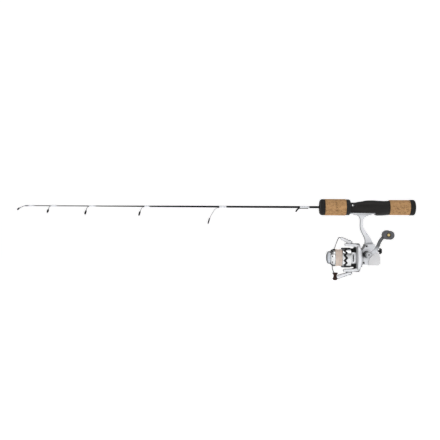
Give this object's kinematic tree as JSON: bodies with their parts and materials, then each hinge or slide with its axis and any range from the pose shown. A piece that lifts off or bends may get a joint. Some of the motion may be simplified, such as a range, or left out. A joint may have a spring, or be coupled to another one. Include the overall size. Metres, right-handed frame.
{
  "type": "ice fishing rod",
  "caption": "Short ice fishing rod with cork grips, a moving-hood reel seat, wire guides and a small spinning reel with a folding bail and a crank.",
  "frame": {"origin": "centre of the butt cap's flat end, on the rod's axis", "axes": "-X along the rod to its tip, -Z down to the reel, -Y to the reel's crank"},
  "size_m": [0.6564, 0.0905, 0.1346],
  "materials": {
    "blank_black": "gloss over black fibreglass",
    "guide_metal": "dark polished",
    "guide_insert": "polished ceramic, black",
    "wrap_silver": "silver thread under clear coat",
    "wrap_black": "black thread under clear coat",
    "keeper_black": "black painted wire",
    "cap_black": "fine closed-cell foam rubber",
    "cork": "sanded cork with dark pores",
    "seat_black": "satin moulded",
    "hood_black": "satin moulded",
    "nut_plastic": "moulded",
    "reel_silver": "silver satin paint",
    "cover_silver": "warm silver satin paint",
    "rotor_silver": "silver gloss paint",
    "small_black": "moulded",
    "steel": "turned",
    "bright_wire": "polished",
    "brass": "turned",
    "gear_zinc": "die cast",
    "arm_grey": "satin",
    "knob_grey": "soft-touch moulded",
    "spool_silver": "machined and polished",
    "line_tan": "clear monofilament, pinkish tan when wound",
    "washer_dark": "oiled felt",
    "drag_grey": "polished",
    "roller_brown": "polished"
  },
  "bodies": {
    "rod": {"blank": "blank_black", "guide_frame_1": "guide_metal", "guide_frame_2": "guide_metal", "guide_frame_3": "guide_metal", "guide_frame_4": "guide_metal", "guide_ring_1": "guide_insert", "guide_ring_2": "guide_insert", "guide_ring_3": "guide_insert", "guide_ring_4": "guide_insert", "guide_wrap_1": "wrap_silver", "guide_wrap_2": "wrap_silver", "guide_wrap_3": "wrap_silver", "guide_wrap_4": "wrap_silver", "tip_frame": "guide_metal", "tip_ring": "guide_insert", "tip_wrap": "wrap_silver", "hook_keeper": "keeper_black", "keeper_wrap": "wrap_black", "reel_seat": "seat_black", "rear_cork": "cork", "butt_cap": "cap_black", "reel_body": "reel_silver", "side_cover": "reel_silver", "rear_cover": "cover_silver", "cover_screws": "steel", "dust_cap": "small_black", "drive_bushings": "brass", "pinion_bearing": "steel", "anti_reverse_clutch": "steel", "pinion_bushing": "brass", "guide_rod": "steel"},
    "hood": {"locking_hood": "hood_black"},
    "foregrip": {"front_cap": "cap_black", "front_cork": "cork", "threaded_nut": "nut_plastic"},
    "reverse_switch": {"anti_reverse_switch": "small_black"},
    "crank": {"drive_gear": "gear_zinc", "crank_hub": "reel_silver", "crank_arm": "arm_grey", "crank_screw": "steel", "knob_axle": "brass"},
    "knob": {"crank_knob": "knob_grey"},
    "rotor": {"pinion": "brass", "rotor": "rotor_silver", "rotor_nut": "steel", "bail_spring": "steel", "bail_screws": "steel"},
    "bail": {"bail_wire": "bright_wire", "bail_arm": "rotor_silver", "bail_holder": "rotor_silver", "roller_screw": "steel"},
    "roller": {"line_roller": "roller_brown"},
    "oscillator": {"oscillation_gear": "gear_zinc"},
    "shaft": {"main_shaft": "steel", "oscillation_slider": "brass"},
    "spool": {"spool": "spool_silver", "wound_line": "line_tan", "drag_washers": "washer_dark"},
    "drag": {"drag_knob": "drag_grey"}
  },
  "joints": [
    {"name": "hood_slide", "type": "slide", "parent": "rod", "child": "hood", "axis": [-1, 0, 0], "range_m": [0, 0.008]},
    {"name": "foregrip_turn", "type": "hinge", "parent": "hood", "child": "foregrip", "pos_m": [-0.128, 0, 0], "axis": [1, 0, 0], "range_deg": [0, 1440]},
    {"name": "reverse_switch_turn", "type": "hinge", "parent": "rod", "child": "reverse_switch", "pos_m": [-0.0565, 0, -0.072], "axis": [1, 0, 0], "range_deg": [0, 60]},
    {"name": "crank_turn", "type": "hinge", "parent": "rod", "child": "crank", "pos_m": [-0.0815, 0, -0.077], "axis": [0, 1, 0], "continuous": true},
    {"name": "knob_spin", "type": "hinge", "parent": "crank", "child": "knob", "pos_m": [-0.05501, -0.05, -0.04441], "axis": [0, 1, 0], "continuous": true},
    {"name": "rotor_spin", "type": "hinge", "parent": "rod", "child": "rotor", "pos_m": [-0.0965, 0, -0.083], "axis": [1, 0, 0], "continuous": true},
    {"name": "bail_flip", "type": "hinge", "parent": "rotor", "child": "bail", "pos_m": [-0.1075, 0, -0.083], "axis": [0, 0, 1], "range_deg": [0, 100]},
    {"name": "roller_spin", "type": "hinge", "parent": "bail", "child": "roller", "pos_m": [-0.1297, 0.006, -0.114], "axis": [0, 0, 1], "continuous": true},
    {"name": "oscillation_spin", "type": "hinge", "parent": "rod", "child": "oscillator", "pos_m": [-0.07198, 0, -0.083], "axis": [0, 1, 0], "continuous": true},
    {"name": "spool_stroke", "type": "slide", "parent": "rod", "child": "shaft", "axis": [1, 0, 0], "range_m": [-0.003, 0.006]},
    {"name": "spool_slip", "type": "hinge", "parent": "shaft", "child": "spool", "pos_m": [-0.1265, 0, -0.083], "axis": [1, 0, 0], "continuous": true},
    {"name": "drag_turn", "type": "hinge", "parent": "shaft", "child": "drag", "pos_m": [-0.1415, 0, -0.083], "axis": [1, 0, 0], "range_deg": [-360, 360]}
  ],
  "couplings": [
    {"joint": "hood_slide", "follows": "foregrip_turn", "m_per_rad": 0.000318},
    {"joint": "rotor_spin", "follows": "crank_turn", "ratio": 5.1429},
    {"joint": "oscillation_spin", "follows": "crank_turn", "ratio": -0.5}
  ]
}
